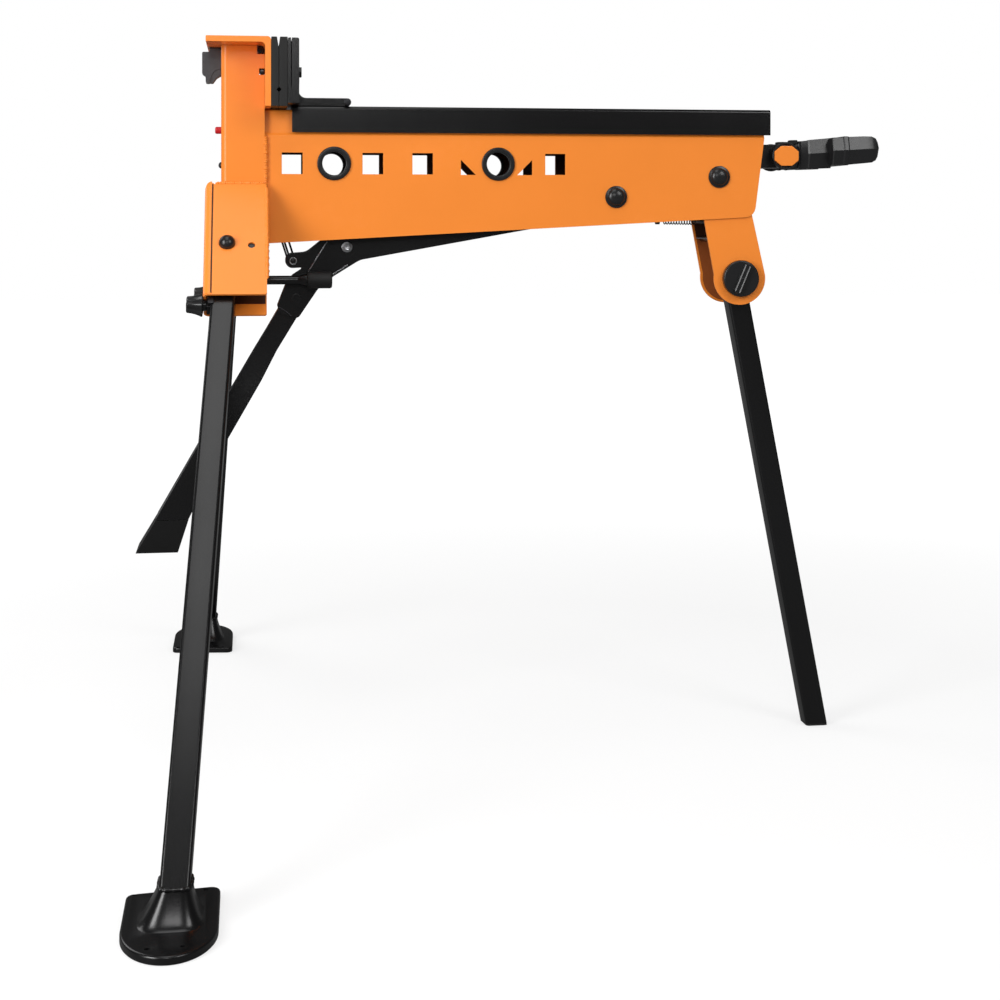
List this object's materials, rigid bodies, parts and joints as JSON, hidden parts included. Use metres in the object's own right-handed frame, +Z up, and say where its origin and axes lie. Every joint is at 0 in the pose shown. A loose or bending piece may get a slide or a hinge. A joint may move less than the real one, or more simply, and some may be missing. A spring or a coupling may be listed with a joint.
{
  "type": "folding workbench",
  "caption": "Folding tripod workbench with a long beam, a sliding jaw that a foot pedal clamps against a fixed jaw, splayed folding legs and a carrying handle.",
  "frame": {"origin": "centre of the bounding box on the floor", "axes": "+X along the beam from the fixed jaw to the handle, +Y to the left foot, +Z up"},
  "size_m": [1.0696, 1.458, 0.999],
  "materials": {
    "orange_paint": "orange powder coat, satin gloss",
    "black_paint": "black powder coat, satin gloss",
    "black_plastic": "black moulded plastic",
    "rubber": "black rubber or soft moulding",
    "zinc_steel": "zinc-plated steel",
    "spring_steel": "dark oiled spring steel",
    "red_plastic": "red moulded plastic"
  },
  "bodies": {
    "frame": {"column": "orange_paint", "jaw_backing": "orange_paint", "fixed_jaw_pad": "rubber", "beam": "orange_paint", "grommet_front_left": "black_plastic", "grommet_front_right": "black_plastic", "grommet_rear_left": "black_plastic", "grommet_rear_right": "black_plastic", "lever_pivot_pin": "black_plastic", "rear_cross_pin": "black_plastic", "spring_anchor_rod": "zinc_steel", "return_spring": "spring_steel", "lock_pin": "zinc_steel", "rod_guide": "black_plastic", "lock_spring": "spring_steel", "release_pin": "zinc_steel", "leg_bracket_left": "orange_paint", "leg_bracket_right": "orange_paint", "leg_bolt_left": "black_plastic", "leg_bolt_right": "black_plastic", "rear_clevis_left": "orange_paint", "rear_clevis_right": "orange_paint", "spring_hook_rod": "spring_steel", "clevis_spacer": "zinc_steel", "rear_leg_pin": "zinc_steel", "handle_mount": "black_plastic", "pedal_post": "black_paint", "post_bumper": "rubber"},
    "slide": {"slide_channel": "black_paint", "drive_bar": "zinc_steel", "moving_jaw": "black_paint", "moving_jaw_pad": "rubber", "jaw_pin": "zinc_steel", "jaw_bolt_left": "black_paint", "jaw_bolt_right": "black_paint"},
    "pedal": {"lever_plate_left": "black_paint", "lever_plate_right": "black_paint", "pedal_arm": "black_paint", "pedal_tread": "rubber", "lever_bolt": "zinc_steel", "socket_bolt": "black_paint", "spring_lug_pin": "zinc_steel", "crank_pin": "zinc_steel"},
    "dog": {"drive_dog": "zinc_steel"},
    "lock": {"lock_plate": "zinc_steel"},
    "rod": {"release_rod": "zinc_steel"},
    "release": {"release_lever": "black_plastic"},
    "button": {"red_button": "red_plastic"},
    "leg_right": {"front_leg_right": "black_paint", "foot_right": "black_paint"},
    "leg_left": {"front_leg_left": "black_paint", "foot_left": "black_paint"},
    "knob_right": {"leg_knob_right": "black_plastic"},
    "knob_left": {"leg_knob_left": "black_plastic"},
    "rear_leg_body": {"rear_leg": "black_paint", "rear_foot_plug": "rubber"},
    "rear_knob_body": {"rear_knob": "black_plastic"},
    "handle": {"handle_grip": "black_plastic", "handle_cap_left": "orange_paint", "handle_cap_right": "orange_paint"}
  },
  "joints": [
    {"name": "jaw_slide", "type": "slide", "parent": "frame", "child": "slide", "axis": [1, 0, 0], "range_m": [0, 0.42]},
    {"name": "pedal_press", "type": "hinge", "parent": "frame", "child": "pedal", "pos_m": [0.1439, 0, 0.7805], "axis": [0, -1, 0], "range_deg": [0, 20], "stiffness_Nm_per_rad": 20, "springref_deg": -51.57, "deforming": ["return_spring"]},
    {"name": "drive_dog_tilt", "type": "hinge", "parent": "pedal", "child": "dog", "pos_m": [0.1439, 0, 0.856], "axis": [0, -1, 0], "range_deg": [-21, 1]},
    {"name": "rear_leg_fold", "type": "hinge", "parent": "frame", "child": "rear_leg_body", "pos_m": [0.3277, 0, 0.6625], "axis": [0, -1, 0], "range_deg": [-82, 0]},
    {"name": "rear_knob_spin", "type": "hinge", "parent": "frame", "child": "rear_knob_body", "pos_m": [0.3277, -0.05, 0.6625], "axis": [0, -1, 0], "continuous": true},
    {"name": "right_leg_fold", "type": "hinge", "parent": "frame", "child": "leg_right", "pos_m": [-0.408, -0.0991, 0.7006], "axis": [0, 0.7771, -0.6293], "range_deg": [-90, 0]},
    {"name": "right_knob_spin", "type": "hinge", "parent": "leg_right", "child": "knob_right", "pos_m": [-0.41278, -0.15377, 0.63309], "axis": [0.9985, -0.0346, -0.0427], "continuous": true},
    {"name": "left_leg_fold", "type": "hinge", "parent": "frame", "child": "leg_left", "pos_m": [-0.408, 0.0991, 0.7006], "axis": [0, 0.7771, 0.6293], "range_deg": [-90, 0]},
    {"name": "left_knob_spin", "type": "hinge", "parent": "leg_left", "child": "knob_left", "pos_m": [-0.41278, 0.15377, 0.63309], "axis": [0.9985, 0.0346, -0.0427], "continuous": true},
    {"name": "handle_fold", "type": "hinge", "parent": "frame", "child": "handle", "pos_m": [0.3982, 0, 0.841], "axis": [0, -1, 0], "range_deg": [-90, 0]},
    {"name": "release_lever_pull", "type": "hinge", "parent": "frame", "child": "release", "pos_m": [-0.3938, 0, 0.878], "axis": [0, -1, 0], "range_deg": [0, 11], "stiffness_Nm_per_rad": 2, "springref_deg": -22.92},
    {"name": "release_rod_push", "type": "slide", "parent": "frame", "child": "rod", "axis": [1, 0, 0], "range_m": [0, 0.0035]},
    {"name": "lock_plate_tilt", "type": "hinge", "parent": "frame", "child": "lock", "pos_m": [0.2147, 0, 0.838], "axis": [0, 1, 0], "range_deg": [-0.5, 8.5], "deforming": ["lock_spring"]},
    {"name": "red_button_press", "type": "slide", "parent": "frame", "child": "button", "axis": [1, 0, 0], "range_m": [0, 0.004], "stiffness_N_per_m": 300, "springref_m": -0.002}
  ],
  "couplings": [
    {"joint": "drive_dog_tilt", "follows": "pedal_press", "ratio": -1},
    {"joint": "release_rod_push", "follows": "release_lever_pull", "m_per_rad": 0.016},
    {"joint": "lock_plate_tilt", "follows": "release_lever_pull", "ratio": 0.7}
  ]
}
